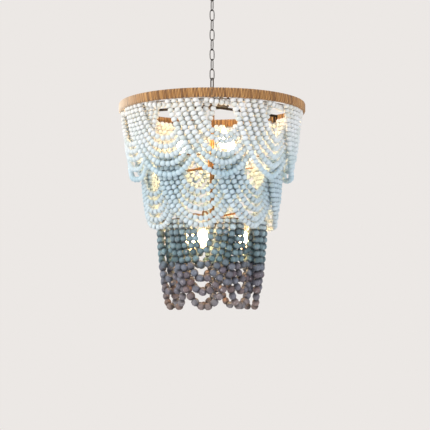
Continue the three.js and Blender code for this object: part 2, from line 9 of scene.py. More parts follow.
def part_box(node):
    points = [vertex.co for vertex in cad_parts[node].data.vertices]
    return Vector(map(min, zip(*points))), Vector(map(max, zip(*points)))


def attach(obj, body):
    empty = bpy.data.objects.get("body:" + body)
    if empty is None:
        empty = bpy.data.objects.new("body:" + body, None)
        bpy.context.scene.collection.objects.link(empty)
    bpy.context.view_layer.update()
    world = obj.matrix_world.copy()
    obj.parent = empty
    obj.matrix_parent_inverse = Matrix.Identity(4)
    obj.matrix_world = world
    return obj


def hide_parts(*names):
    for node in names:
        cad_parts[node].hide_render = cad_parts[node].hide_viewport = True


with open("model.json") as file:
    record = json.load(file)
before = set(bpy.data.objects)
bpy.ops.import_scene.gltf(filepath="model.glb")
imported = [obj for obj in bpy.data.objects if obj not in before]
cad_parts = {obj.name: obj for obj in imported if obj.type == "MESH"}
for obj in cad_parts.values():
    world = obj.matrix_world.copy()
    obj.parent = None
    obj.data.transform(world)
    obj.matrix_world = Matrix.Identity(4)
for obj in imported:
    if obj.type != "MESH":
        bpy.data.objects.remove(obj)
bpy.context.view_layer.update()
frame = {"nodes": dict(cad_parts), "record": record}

# Camera: about 3.2 m in front of the fitting, a little above the foot of the beads, tipped up
# slightly, with a long lens. The chain runs out of the top of its view.
camera_distance = 3.2
camera_right = 0.0096
camera_level = -1.012
camera_tip = math.radians(3.75)
photo_lens = 82.4
bpy.ops.object.camera_add(location=(camera_right, -camera_distance, camera_level))
camera = bpy.context.object
camera.rotation_euler = (math.pi / 2 + camera_tip, 0, 0)
camera.data.lens = photo_lens
bpy.context.scene.camera = camera


# Ceiling strap: a slotted bar of zinc-plated steel with a nut welded under it. Two screws through
# its slots hold it to the ceiling box, and everything hangs from its nut.
def paint(red, green, blue):
    """A colour given as it looks on a screen, from 0 to 255, as the shader's own linear value."""
    shares = [level / 255 for level in (red, green, blue)]
    linear = [s / 12.92 if s <= 0.04045 else ((s + 0.055) / 1.055) ** 2.4 for s in shares]
    return (*linear, 1)


def feed(tree, node, sockets):
    """Sets sockets, each to a value, to a node's first output or to one given as (node, output)."""
    for socket, value in sockets.items():
        is_pair = isinstance(value, tuple) and len(value) == 2
        source, output = value if is_pair else (value, 0)
        if isinstance(source, bpy.types.Node):
            tree.links.new(source.outputs[output], node.inputs[socket])
        else:
            node.inputs[socket].default_value = value


def add_node(tree, kind, sockets=(), **settings):
    """A node of this kind in a tree, with its settings and with its sockets fed."""
    node = tree.nodes.new(f"ShaderNode{kind}")
    for setting, value in settings.items():
        setattr(node, setting, value)
    feed(tree, node, dict(sockets))
    return node


def add_noise(tree, place, scale, detail=2):
    return add_node(tree, "TexNoise", {"Vector": place, "Scale": scale, "Detail": detail})


def add_bump(tree, height, strength, distance):
    return add_node(tree, "Bump", {"Height": height, "Strength": strength, "Distance": distance})


def add_ramp(tree, source, *stops):
    """A colour ramp through stops of (position, red, green, blue)."""
    ramp = add_node(tree, "ValToRGB", {"Fac": source})
    ends = ramp.color_ramp.elements
    ends[0].position, ends[0].color = stops[0][0], paint(*stops[0][1:])
    ends[1].position, ends[1].color = stops[-1][0], paint(*stops[-1][1:])
    for position, *colour in stops[1:-1]:
        ends.new(position).color = paint(*colour)
    return ramp


def carried(tree, source, goal, span=(0, 1), **settings):
    """A value whose span is carried to the goal, another span."""
    sockets = {"From Min": span[0], "From Max": span[1], "To Min": goal[0], "To Max": goal[1]}
    return add_node(tree, "MapRange", {"Value": source, **sockets}, **settings)


def new_material(name):
    material = bpy.data.materials.new(name)
    material.use_nodes = True
    return material, material.node_tree, material.node_tree.nodes["Principled BSDF"]


def mask_group(name, *masks):
    """An empty node group that gives out masks and a normal, and its output node."""
    group = bpy.data.node_groups.new(name, "ShaderNodeTree")
    for mask in masks:
        group.interface.new_socket(mask, in_out="OUTPUT", socket_type="NodeSocketFloat")
    group.interface.new_socket("Normal", in_out="OUTPUT", socket_type="NodeSocketVector")
    return group, group.nodes.new("NodeGroupOutput")


def wear_group():
    """Blotches and fine scratches of a metal finish: two masks and a bump."""
    group, out = mask_group("metal_wear", "Blotches", "Scratches")
    place = (add_node(group, "TexCoord"), "Object")
    blotches = add_noise(group, place, 60, 4)
    stretched = add_node(group, "Mapping", {"Vector": place, "Scale": (1, 1, 0.12)})
    scratches = add_noise(group, stretched, 900)
    bump = add_bump(group, blotches, 0.25, 0.0003)
    feed(group, out, {"Blotches": blotches, "Scratches": scratches, "Normal": bump})
    return group


metal_wear = wear_group()


def metal(name, dark, light, smooth, dull, metallic=0.9):
    """A metal whose colour runs between two tones and whose polish runs between two values."""
    material, tree, shader = new_material(name)
    wear = add_node(tree, "Group", node_tree=metal_wear)
    tone = add_ramp(tree, (wear, "Blotches"), (0.35, *dark), (0.68, *light))
    polish = carried(tree, (wear, "Scratches"), (smooth, dull))
    normal = (wear, "Normal")
    looks = {"Base Color": tone, "Metallic": metallic, "Roughness": polish, "Normal": normal}
    feed(tree, shader, looks)
    return material


zinc = metal("zinc_plate", (136, 132, 125), (186, 182, 174), 0.3, 0.5)
for node in ("ceiling_strap", "centre_rod", "rim_band"):
    frame["nodes"][node].data.materials.clear()
    frame["nodes"][node].data.materials.append(zinc)


# Canopy: a spun sheet-metal dome with a rolled lip, finished in dark bronze. It hides the ceiling
# box and rests on the collar nut.
def select_only(*pieces):
    bpy.ops.object.select_all(action="DESELECT")
    for piece in pieces:
        piece.select_set(True)
    bpy.context.view_layer.objects.active = pieces[-1]


def turned(outline, sides, hollow=False):
    """A turned piece on the upright axis. Its outline is (radius, height) from end to end, and a
    hollow one comes back to its first point."""
    select_only(camera)
    (radius, height), *rest = outline
    fill = "NOTHING" if hollow else "NGON"
    bpy.ops.mesh.primitive_circle_add(
        vertices=sides, radius=radius, fill_type=fill, location=(0, 0, height)
    )
    piece = bpy.context.object
    bpy.ops.object.transform_apply(location=True)
    bpy.ops.object.mode_set(mode="EDIT")
    for next_radius, next_height in rest:
        rise = (0, 0, next_height - height)
        bpy.ops.mesh.extrude_region_move(TRANSFORM_OT_translate={"value": rise})
        spread = next_radius / radius
        bpy.ops.transform.resize(value=(spread, spread, 1), center_override=(0, 0, next_height))
        radius, height = next_radius, next_height
    bpy.ops.mesh.select_all(action="SELECT")
    bpy.ops.mesh.remove_doubles(threshold=0.000002)
    bpy.ops.mesh.normals_make_consistent(inside=False)
    bpy.ops.object.mode_set(mode="OBJECT")
    return piece


def arc(centre_radius, centre_height, reach, rise, first, last, steps):
    """Points of an oval arc, as (radius, height), between two angles in degrees."""
    points = []
    for i in range(steps + 1):
        angle = math.radians(first + (last - first) * i / steps)
        across, up = reach * math.cos(angle), rise * math.sin(angle)
        points.append((centre_radius + across, centre_height + up))
    return points


def settle(piece, name, node, finish=None, body="fitting", crease=35):
    """Names and smooths a piece and puts it in place of its CAD node. It takes one finish, or
    keeps those that it has."""
    select_only(piece)
    bpy.ops.object.transform_apply(location=True, rotation=True, scale=True)
    bpy.ops.object.shade_smooth_by_angle(angle=math.radians(crease))
    piece.name = name
    if finish:
        piece.data.materials.clear()
        piece.data.materials.append(finish)
    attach(piece, body)
    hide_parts(node)


bronze = metal("dark_bronze", (38, 31, 24), (76, 62, 47), 0.42, 0.62, metallic=0.65)
low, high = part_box("canopy")
canopy_radius = high.x
canopy_top = high.z
canopy_floor = low.z
canopy_sheet = 0.0014
canopy_lip = 0.005
canopy_flat = 0.022
canopy_hole = 0.0125
lip_roll = 0.0009
bowl_top = canopy_top - canopy_lip
bowl_reach = canopy_radius - canopy_flat
bowl_fall = bowl_top - canopy_floor
outline = [
    (canopy_radius - lip_roll, canopy_top),
    (canopy_radius, canopy_top - lip_roll),
    (canopy_radius, bowl_top + 2 * lip_roll),
    (canopy_radius - lip_roll, bowl_top + lip_roll),
    *arc(canopy_flat, bowl_top, bowl_reach, bowl_fall, 0, -90, 14),
    (canopy_hole, canopy_floor),
    (canopy_hole, canopy_floor + canopy_sheet),
    *arc(canopy_flat, bowl_top, bowl_reach - canopy_sheet, bowl_fall - canopy_sheet, -90, 0, 14),
    (canopy_radius - canopy_sheet, canopy_top),
    (canopy_radius - lip_roll, canopy_top),
]
canopy = turned(outline, 72, hollow=True)
settle(canopy, "canopy_shell", "canopy", bronze, body="canopy_cover")


# Canopy loop: a cast bronze eye on a wide threaded shank. The shank screws up into the strap's nut
# and passes through the canopy. The eye stands at the angle at which the chain hangs.
def joined(*pieces):
    select_only(*pieces)
    bpy.ops.object.join()
    return bpy.context.object


def oval_eye(centre, inner_length, inner_width, wire, around=32, sides=12):
    """A closed eye of round wire in the XZ plane: a ring whose two halves are drawn apart."""
    select_only(camera)
    bend = inner_width / 2 + wire
    straight = inner_length / 2 + wire - bend
    bpy.ops.mesh.primitive_torus_add(
        major_radius=bend,
        minor_radius=wire,
        major_segments=around,
        minor_segments=sides,
        rotation=(math.pi / 2, math.pi / around, 0),
    )
    eye = bpy.context.object
    bpy.ops.object.transform_apply(rotation=True)
    for end in (1, -1):
        bpy.ops.object.mode_set(mode="EDIT")
        bpy.ops.mesh.select_all(action="DESELECT")
        bpy.ops.object.mode_set(mode="OBJECT")
        for vertex in eye.data.vertices:
            vertex.select = vertex.co.z * end > 0
        bpy.ops.object.mode_set(mode="EDIT")
        bpy.ops.transform.translate(value=(0, 0, end * straight))
        bpy.ops.object.mode_set(mode="OBJECT")
    eye.location.z = centre
    bpy.ops.object.transform_apply(location=True)
    return eye


def thread(radius, depth, pitch, top, foot):
    """The outline of a screw thread as a run of V-shaped ridges, from its top to its foot."""
    points = []
    for i in range(int((top - foot) / pitch)):
        points.append((radius - depth, top - i * pitch))
        points.append((radius, top - (i + 0.5) * pitch))
    points.append((radius - depth, foot))
    return points


low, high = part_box("canopy_loop")
chain_turn = math.radians(26)
quarter = math.pi / 2
loop_wire = 0.0025
loop_inner = 0.012
loop_centre = low.z + 2 * loop_wire + loop_inner / 2
stem_radius = 0.005
shank_radius = 0.012
shank_top = canopy_floor + 0.006
shank_foot = canopy_floor - 0.008
thread_depth = 0.0006
thread_pitch = 0.0014
shank = turned(
    [
        *thread(stem_radius, thread_depth, thread_pitch, high.z, shank_top),
        *thread(shank_radius, thread_depth, thread_pitch, shank_top, shank_foot),
        (stem_radius, shank_foot - thread_depth),
        (loop_wire, loop_centre + loop_inner / 2 + loop_wire),
    ],
    32,
)
loop = joined(oval_eye(loop_centre, loop_inner, loop_inner, loop_wire), shank)
loop.rotation_euler.z = quarter + chain_turn
settle(loop, "canopy_loop_and_shank", "canopy_loop", bronze, body="ceiling_mount")

# Collar nut: a turned bronze ring with a knurled waist. It runs on the shank's thread and holds
# the canopy up.
low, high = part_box("collar_nut")
collar_radius = high.x
collar_bore = 0.0123
collar_chamfer = 0.0012
collar_sides = 64
knurl_depth = 0.0005
knurl_foot = low.z + 2 * collar_chamfer
knurl_top = high.z - 2 * collar_chamfer
outline = [
    (collar_bore, low.z),
    (collar_radius - collar_chamfer, low.z),
    (collar_radius, low.z + collar_chamfer),
    (collar_radius, knurl_foot),
    (collar_radius - knurl_depth, knurl_foot + knurl_depth),
    (collar_radius - knurl_depth, knurl_top - knurl_depth),
    (collar_radius, knurl_top),
    (collar_radius, high.z - collar_chamfer),
    (collar_radius - collar_chamfer, high.z),
    (collar_bore, high.z),
    (collar_bore, low.z),
]
collar = turned(outline, collar_sides, hollow=True)
for vertex in collar.data.vertices:
    reach = math.hypot(vertex.co.x, vertex.co.y)
    if knurl_foot < vertex.co.z < knurl_top and reach > collar_bore + knurl_depth:
        side = round(math.atan2(vertex.co.y, vertex.co.x) / (2 * math.pi) * collar_sides)
        vertex.co.xy *= (reach + side % 2 * knurl_depth) / reach
settle(collar, "collar_ring", "collar_nut", bronze, body="collar")


# Chain: nine links of round bronze wire, bent to an oval and butt-welded at the middle of one side.
# Every other link is turned a quarter, so that each hangs in the one above.
def own_copy(piece):
    """A copy of a piece with a mesh of its own."""
    copy = piece.copy()
    copy.data = piece.data.copy()
    bpy.context.collection.objects.link(copy)
    return copy


link_bronze = metal("link_bronze", (20, 16, 12), (44, 36, 28), 0.5, 0.7, metallic=0.3)
low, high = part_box("chain_link_1")
link_wire = 0.0015
half_length = (high.z - low.z) / 2
half_width = (high.x - low.x) / 2
weld = Vector((half_width - link_wire, 0, 0))
weld_reach = 1.1 * link_wire
weld_swell = 1.16
oval_taper = 0.2
inner_length = 2 * half_length - 4 * link_wire
inner_width = 2 * half_width - 4 * link_wire
pattern_link = oval_eye(0, inner_length, inner_width, link_wire, around=24, sides=10)
bpy.ops.object.mode_set(mode="EDIT")
cuts = [share * half_length for share in (-0.45, -0.3, -0.15, 0, 0.15, 0.3, 0.45)]
for cut in (*cuts, -link_wire, link_wire):
    bpy.ops.mesh.select_all(action="SELECT")
    bpy.ops.mesh.bisect(plane_co=(0, 0, cut), plane_no=(0, 0, 1))
bpy.ops.object.mode_set(mode="OBJECT")
for vertex in pattern_link.data.vertices:
    vertex.co.x *= 1 - oval_taper * (vertex.co.z / half_length) ** 2
    if (vertex.co - weld).length < weld_reach:
        vertex.co.xy = weld.xy + (vertex.co.xy - weld.xy) * weld_swell
link_bodies = {
    node: body
    for body, nodes in frame["record"]["behaviour"]["bodies"].items()
    for node in nodes
    if node.startswith("chain_link_")
}
for number in range(1, len(link_bodies) + 1):
    node = f"chain_link_{number}"
    low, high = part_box(node)
    link = own_copy(pattern_link)
    link.location.z = (low.z + high.z) / 2
    link.rotation_euler.z = chain_turn if number % 2 else quarter + chain_turn
    settle(link, f"link_{number}_wire", node, link_bronze, body=link_bodies[node])
bpy.data.objects.remove(pattern_link)

# Top loop: an oval bronze eye brazed to a turned coupling. The coupling screws onto the centre rod
# and clamps the top spider.
low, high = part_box("top_loop")
top_wire = 0.002
top_inner_length = 0.03
top_inner_width = 0.014
coupling_top = high.z - 2 * top_wire - top_inner_length
coupling_radius = 0.008
foot_radius = 0.012
foot_top = low.z + 0.007
foot_middle = low.z + 0.0035
groove = 0.0008
ring_level = low.z + 0.0182
coupling = turned(
    [
        (top_wire, coupling_top + top_wire),
        *arc(0, coupling_top - coupling_radius, coupling_radius, coupling_radius, 75, 0, 8),
        (coupling_radius, ring_level + 3 * groove),
        (coupling_radius - groove, ring_level + 2 * groove),
        (coupling_radius + groove, ring_level),
        (coupling_radius - groove, ring_level - 2 * groove),
        (coupling_radius, ring_level - 3 * groove),
        (coupling_radius, foot_top),
        (foot_radius - groove, foot_middle),
        (foot_radius, foot_middle - groove),
        (foot_radius, low.z + groove),
        (foot_radius - groove, low.z),
    ],
    40,
)
eye_centre = high.z - top_wire - top_inner_length / 2
eye = oval_eye(eye_centre, top_inner_length, top_inner_width, top_wire)
top_loop = joined(eye, coupling)
top_loop.rotation_euler.z = quarter + chain_turn
settle(top_loop, "top_loop_and_coupling", "top_loop", bronze)


# Top spider: a steel hub and plate with three flat arms welded out to the rim band, in the canopy's
# dark bronze, and a zinc-plated wire rail welded under the arms for the upper beads.
def bar(low_corner, high_corner, edge):
    """A squared bar between two corners, with its edges eased."""
    select_only(camera)
    low_corner, high_corner = Vector(low_corner), Vector(high_corner)
    bpy.ops.mesh.primitive_cube_add(size=1, location=(low_corner + high_corner) / 2)
    piece = bpy.context.object
    piece.scale = high_corner - low_corner
    bpy.ops.object.transform_apply(location=True, scale=True)
    bpy.ops.object.mode_set(mode="EDIT")
    bpy.ops.mesh.select_all(action="SELECT")
    bpy.ops.mesh.bevel(offset=edge, segments=2)
    bpy.ops.object.mode_set(mode="OBJECT")
    return piece


def spread_round(piece, count, bearing):
    """Copies of a piece at even bearings about the upright axis, in place of the piece itself."""
    pieces = []
    for i in range(count):
        copy = own_copy(piece)
        select_only(copy)
        copy.rotation_euler.z = math.radians(bearing + i * 360 / count)
        bpy.ops.object.transform_apply(rotation=True)
        pieces.append(copy)
    bpy.data.objects.remove(piece)
    return pieces


def rail(radius, level):
    """A ring of round wire that beads are laced over."""
    select_only(camera)
    bpy.ops.mesh.primitive_torus_add(
        major_radius=radius,
        minor_radius=rail_wire,
        major_segments=144,
        minor_segments=10,
        location=(0, 0, level),
    )
    return bpy.context.object


def eased_disc(radius, foot, top):
    """The outline of a disc with eased edges, from its foot to its top."""
    edge = [(radius - eased, foot), (radius, foot + eased), (radius, top - eased)]
    return [*edge, (radius - eased, top)]


rope_low, rope_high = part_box("rope_wrap")
band_low, band_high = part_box("rim_band")
rim_radius = rope_high.x
band_inner = band_high.x - 0.003
arm_reach = band_inner - 0.0012
arm_top = rope_high.z - 0.002
arm_foot = arm_top - 0.008
arm_half_width = 0.003
arm_bearing = 10
arm_count = 3
rail_wire = 0.002
top_rail_radius = 0.28
top_rail_level = rope_low.z - 0.001
plate_radius = 0.055
hub_radius = 0.014
low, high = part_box("top_spider")
hub_top = high.z
plate_foot = hub_top - 0.016
plate_top = plate_foot + 0.004
eased = 0.0008
outline = [
    *eased_disc(plate_radius, plate_foot, plate_top),
    (hub_radius + 2 * eased, plate_top),
    (hub_radius, plate_top + 2 * eased),
    (hub_radius, hub_top - eased),
    (hub_radius - eased, hub_top),
]
hub = turned(outline, 64)
arm_parts = [
    ((arm_reach, arm_foot), (hub_radius, arm_top), eased),
    ((arm_reach, band_low.z), (arm_reach - 0.003, arm_top - eased), eased / 2),
    (
        (top_rail_radius + rail_wire, top_rail_level),
        (top_rail_radius - rail_wire, arm_foot + eased),
        eased / 2,
    ),
]
bars = [
    bar((-arm_half_width, -far, foot), (arm_half_width, -near, top), edge)
    for (far, foot), (near, top), edge in arm_parts
]
arms = spread_round(joined(*bars), arm_count, arm_bearing)
spider = joined(hub, *arms, rail(top_rail_radius, top_rail_level))
settle(spider, "top_spider_frame", "top_spider", bronze)
spider.data.materials.append(zinc)
for face in spider.data.polygons:
    on_rail = face.center.xy.length > top_rail_radius - 2 * rail_wire
    if on_rail and face.center.z < top_rail_level + rail_wire:
        face.material_index = 1


# Rope winding: one natural jute rope, wound side by side round the steel band until it is covered.
# The turns part on the inside where an arm meets the band. The side that faces the window light
# is painted paler: painted light.
def reading(tree, attribute):
    """A value that the piece carries at its corners, as an output to feed from."""
    return add_node(tree, "Attribute", attribute_name=attribute), "Fac"


def add_math(tree, operation, *numbers):
    return add_node(tree, "Math", enumerate(numbers), operation=operation)


def add_mix(tree, share, first, second, blend="MIX"):
    """Two colours mixed by a share, as an output to feed from."""
    sockets = {"Factor": share, "A": first, "B": second}
    return add_node(tree, "Mix", sockets, data_type="RGBA", blend_type=blend), "Result"


def rope_material():
    """Jute: turn tones, patches, fibres, lay ridges and painted light on the window side."""
    material, tree, shader = new_material("natural_rope")
    place = (add_node(tree, "TexCoord"), "Object")
    fibres = add_noise(tree, place, 1400, 3)
    patches = carried(tree, add_noise(tree, place, 45, 3), (0, 0.06), span=(0.35, 0.65))
    tone = add_math(tree, "MULTIPLY_ADD", reading(tree, "rope_tone"), 0.66, patches)
    shade = add_math(tree, "MULTIPLY_ADD", fibres, 0.3, tone)
    colours = add_ramp(tree, shade, (0.15, 92, 56, 24), (0.5, 172, 121, 63), (0.9, 214, 163, 96))
    # Painted light: the turns on the window side are mixed towards a pale colour.
    lit_side_colours = add_mix(tree, reading(tree, "rope_painted_light"), colours, paint(250, 232, 208))
    twist = add_math(tree, "MULTIPLY", reading(tree, "rope_lay"), 2 * math.pi)
    height = add_math(tree, "MULTIPLY_ADD", add_math(tree, "SINE", twist), 0.5, fibres)
    bump = add_bump(tree, height, 1, 0.0012)
    feed(tree, shader, {"Base Color": lit_side_colours, "Roughness": 0.93, "Normal": bump})
    feed(tree, shader, {"Sheen Weight": 0.25, "Sheen Roughness": 0.6})
    return material


def winding_path():
    """One turn of the rope's middle line round the band: (radius, height, outward direction)."""
    middle_radius = rim_radius - rope_depth / 2
    middle_height = (rope_low.z + rope_high.z) / 2
    half_depth = rope_depth / 2 - rope_radius - rope_corner
    half_height = (rope_high.z - rope_low.z) / 2 - rope_radius - rope_corner
    points = []
    for turn, (side, up) in enumerate([(1, 1), (-1, 1), (-1, -1), (1, -1)]):
        for i in range(corner_steps):
            angle = math.radians(turn * 90 + 90 * i / (corner_steps - 1))
            out = (math.cos(angle), math.sin(angle))
            radius = middle_radius + side * half_depth + rope_corner * out[0]
            points.append((radius, middle_height + up * half_height + rope_corner * out[1], out))
    return points


def built(name, corners, faces, per_corner):
    """A piece made from its corners and faces, with named values at every corner."""
    mesh = bpy.data.meshes.new(name)
    mesh.from_pydata(corners, [], faces)
    for attribute, values in per_corner.items():
        mesh.attributes.new(attribute, "FLOAT", "POINT").data.foreach_set("value", values)
    piece = bpy.data.objects.new(name, mesh)
    bpy.context.collection.objects.link(piece)
    return piece


rope_radius = 0.0025
rope_turns = 380
rope_depth = 0.015
rope_corner = 0.0028
rope_sides = 6
corner_steps = 3
lay_per_turn = 4.75
# Painted light: the rope is painted paler on the side that faces the window light, most at this
# bearing.
lit_side_bearing = math.radians(-86)
lit_side_reach = math.radians(27)
lit_side_most = 0.88
arm_angles = [math.radians(arm_bearing + i * 360 / arm_count) for i in range(arm_count)]
arm_room = (arm_half_width + rope_radius + 0.0004) / rim_radius
room_fade = 0.03
dice = random.Random(11)
path = winding_path()
rings = rope_turns * len(path)
corners, faces, lay, tones, painted_light_shares = [], [], [], [], []
pale_turn = False
for k in range(rings):
    if k % len(path) == 0:
        pale_turn = not pale_turn if dice.random() < 0.8 else pale_turn
        tone = min(1, max(0, (0.84 if pale_turn else 0.26) + dice.gauss(0, 0.1)))
    radius, height, out = path[k % len(path)]
    angle = 2 * math.pi * k / rings
    for arm_angle in arm_angles:
        off = (angle - arm_angle + math.pi) % (2 * math.pi) - math.pi
        if abs(off) < 4 * room_fade:
            way = 1 if off >= 0 else -1
            angle += way * max(0, -out[0]) * arm_room * math.exp(-abs(off) / room_fade)
    forward = Vector((math.cos(angle), math.sin(angle), 0))
    outward = Vector((math.sin(angle), -math.cos(angle), 0))
    middle = outward * radius + Vector((0, 0, height))
    normal = outward * out[0] + Vector((0, 0, out[1]))
    # Painted light: how near this turn lies to the window side, which is painted paler.
    from_lit_side = (angle - lit_side_bearing + math.pi) % (2 * math.pi) - math.pi
    for side in range(rope_sides):
        around = 2 * math.pi * (side + 0.5) / rope_sides + math.pi
        out_of_line = math.cos(around) * normal + math.sin(around) * forward
        corners.append(middle + rope_radius * out_of_line)
        lay.append(side / rope_sides + lay_per_turn * k / len(path))
        tones.append(tone)
        painted_light_shares.append(lit_side_most * math.exp(-((from_lit_side / lit_side_reach) ** 2)))
        this, after = k * rope_sides, (k + 1) % rings * rope_sides
        next_side = (side + 1) % rope_sides
        faces.append((this + side, after + side, after + next_side, this + next_side))
rope = built("rope", corners, faces, {"rope_lay": lay, "rope_tone": tones, "rope_painted_light": painted_light_shares})
settle(rope, "rope_winding", "rope_wrap", rope_material(), crease=180)


# Hoops: welded wire rings for the middle and lower beads, on round spokes from a bored hub that is
# clamped on the rod. Known fault: a hoop's three spokes stand in one place at the front, because
# they turn by quaternion and the angle that spread_round sets has no effect on them.
def spoked_hoop(node, radius, bearing):
    low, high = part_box(node)
    level = (low.z + high.z) / 2
    hub = turned(eased_disc(hub_radius, low.z, high.z), 40)
    select_only(camera)
    bpy.ops.mesh.primitive_cylinder_add(vertices=12, radius=spoke_radius, depth=radius)
    spoke = bpy.context.object
    spoke.location = (0, -radius / 2, level)
    spoke.rotation_mode = "QUATERNION"
    spoke.rotation_quaternion = Vector((0, -1, 0)).to_track_quat("Z", "Y")
    bpy.ops.object.transform_apply(location=True, rotation=True)
    hoop = joined(hub, *spread_round(spoke, 3, bearing), rail(radius, level))
    settle(hoop, f"{node}_frame", node, warm_bronze)


warm_bronze = metal("warm_bronze", (104, 74, 46), (156, 116, 72), 0.4, 0.6, metallic=0.45)
spoke_radius = 0.003
middle_rail_radius = 0.215
lower_rail_radius = 0.1575
spoked_hoop("middle_hoop", middle_rail_radius, -15.5)
spoked_hoop("lower_hoop", lower_rail_radius, -4)

# Sleeves: bronze tubes over the rod that keep the hubs apart, each with a turned ring at its ends.
sleeve_radius = 0.0078
end_ring = 0.0012
for node in ("upper_sleeve", "lower_sleeve"):
    low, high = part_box(node)
    outline = [
        (sleeve_radius, low.z),
        (sleeve_radius + end_ring, low.z + end_ring),
        (sleeve_radius + end_ring, low.z + 3 * end_ring),
        (sleeve_radius, low.z + 4 * end_ring),
        (sleeve_radius, high.z - 4 * end_ring),
        (sleeve_radius + end_ring, high.z - 3 * end_ring),
        (sleeve_radius + end_ring, high.z - end_ring),
        (sleeve_radius, high.z),
    ]
    settle(turned(outline, 40), f"{node}_tube", node, warm_bronze)

# Finial: a turned bronze nut with a ball tip. It screws onto the foot of the rod and clamps the
# stack of hubs.
low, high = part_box("finial")
nut_radius = high.x
nut_foot = high.z - 0.005
shoulder = nut_radius - 0.0015
ball_radius = 0.0055
waist = 0.0035
outline = [
    (nut_radius - eased, high.z),
    (nut_radius, high.z - eased),
    (nut_radius, nut_foot + 0.001),
    (shoulder, nut_foot),
    *arc(0, nut_foot, shoulder, 0.011, 0, -68, 8),
    (waist, low.z + 2 * ball_radius - 0.0006),
    *arc(0, low.z + ball_radius, ball_radius, ball_radius, 48, -85, 9),
]
settle(turned(outline, 40), "finial_nut", "finial", bronze)


# Lamp arms: three swept bronze tubes brazed into a hub, each with a pressed drip pan on its end.
# The upper set stands its lamps up, and the lower set hangs them down.
def lamp_arms(node, middle, length, bearing, upright):
    """Three arms on a hub at this level. Gives the level at which the lamp holders are seated."""
    hub = turned(eased_disc(hub_radius, middle - hub_height / 2, middle + hub_height / 2), 40)
    pan_level = middle + upright * hub_height / 2
    select_only(camera)
    bpy.ops.curve.primitive_bezier_curve_add()
    sweep = bpy.context.object
    start, end = sweep.data.splines[0].bezier_points
    start.handle_left_type = start.handle_right_type = "FREE"
    end.handle_left_type = end.handle_right_type = "FREE"
    start.co = (0, -hub_radius / 2, middle)
    start.handle_right = (0, -length / 2, middle)
    start.handle_left = (0, 0, middle)
    end.co = (0, -length, pan_level + upright * pan_sink)
    end.handle_left = (0, -length, middle - upright * 2 * tube_dip)
    end.handle_right = end.co
    sweep.data.resolution_u = 20
    sweep.data.bevel_depth = tube_radius
    sweep.data.bevel_resolution = 3
    sweep.data.use_fill_caps = True
    bpy.ops.object.convert(target="MESH")
    tube = bpy.context.object
    face = pan_level + upright * 2 * pan_sink
    lip = face + upright * pan_rim
    foot = pan_radius - pan_rim
    outline = [
        (pan_bore, pan_level),
        (foot, pan_level),
        (pan_radius - 0.0005, lip - upright * 0.0006),
        (pan_radius, lip),
        (pan_radius - 0.0012, lip + upright * 0.0003),
        (foot - pan_sheet, face),
        (pan_bore, face),
    ]
    pan = turned(outline, 48)
    pan.location.y = -length
    select_only(pan)
    bpy.ops.object.transform_apply(location=True)
    limbs = spread_round(joined(tube, pan), 3, bearing)
    settle(joined(hub, *limbs), f"{node}_frame", node, warm_bronze)
    return face + upright * clearance


clearance = 0.0003
hub_height = 0.014
tube_radius = 0.0035
tube_dip = 0.016
pan_radius = 0.019
pan_rim = 0.004
pan_sheet = 0.0018
pan_bore = 0.0045
pan_sink = 0.0012
upper_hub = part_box("middle_hoop")[0].z - clearance - hub_height / 2
low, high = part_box("lower_hoop")
lower_hub = (low.z + high.z) / 2 + hub_height + clearance
lamp_places = {}
for level, middle, length, first_bearing, upright in [
    ("upper", upper_hub, 0.1, 22.5, 1),
    ("lower", lower_hub, 0.106, -16, -1),
]:
    seat = lamp_arms(f"{level}_lamp_arms", middle, length, first_bearing, upright)
    for number in range(3):
        bearing = math.radians(first_bearing + number * 120)
        lamp_places[level, number + 1] = (seat, length, bearing, upright)


# Lamp holders: glazed off-white candle sleeves with a threaded bore, each standing in the drip pan
# of its arm.
def mottled(name, scale, dark, light, looks, polish=()):
    """A plain finish whose tone, and polish if it is given, vary a little in a fine pattern."""
    material, tree, shader = new_material(name)
    mottle = add_noise(tree, (add_node(tree, "TexCoord"), "Object"), scale)
    tone = add_ramp(tree, mottle, (0, *dark), (1, *light))
    feed(tree, shader, {"Base Color": tone, **looks})
    if polish:
        feed(tree, shader, {"Roughness": carried(tree, mottle, polish)})
    return material


def lamp_copy(pattern, seat, length, bearing, upright):
    """A copy of a piece that stands on the origin, moved to its seat at the end of a lamp arm."""
    piece = own_copy(pattern)
    piece.location = (length * math.sin(bearing), -length * math.cos(bearing), seat)
    piece.rotation_euler = (0 if upright > 0 else math.pi, 0, bearing)
    return piece


off_white = (222, 214, 198), (240, 235, 224)
coat = {"Coat Weight": 0.4, "Coat Roughness": 0.15}
glazed = mottled("off_white_glaze", 90, *off_white, coat, polish=(0.25, 0.42))
holder_radius = 0.012
holder_length = 0.038
holder_bore = 0.0073
bore_floor = 0.012
foot_ring = 0.0006
lamp_pitch = 0.0021
outline = [
    (holder_bore / 2, 0),
    (holder_radius, 0),
    (holder_radius, 0.0016),
    (holder_radius - foot_ring, 0.002),
    (holder_radius - foot_ring, holder_length - 0.0016),
    (holder_radius - 0.0022, holder_length),
    (holder_bore, holder_length),
    *thread(holder_bore + 0.0004, 0.0004, lamp_pitch, holder_length - 0.001, bore_floor),
    (holder_bore / 2, bore_floor),
    (holder_bore / 2, 0),
]
pattern_holder = turned(outline, 32, hollow=True)
for (level, number), spot in lamp_places.items():
    node = f"{level}_socket_{number}"
    settle(lamp_copy(pattern_holder, *spot), f"{node}_sleeve", node, glazed)
bpy.data.objects.remove(pattern_holder)


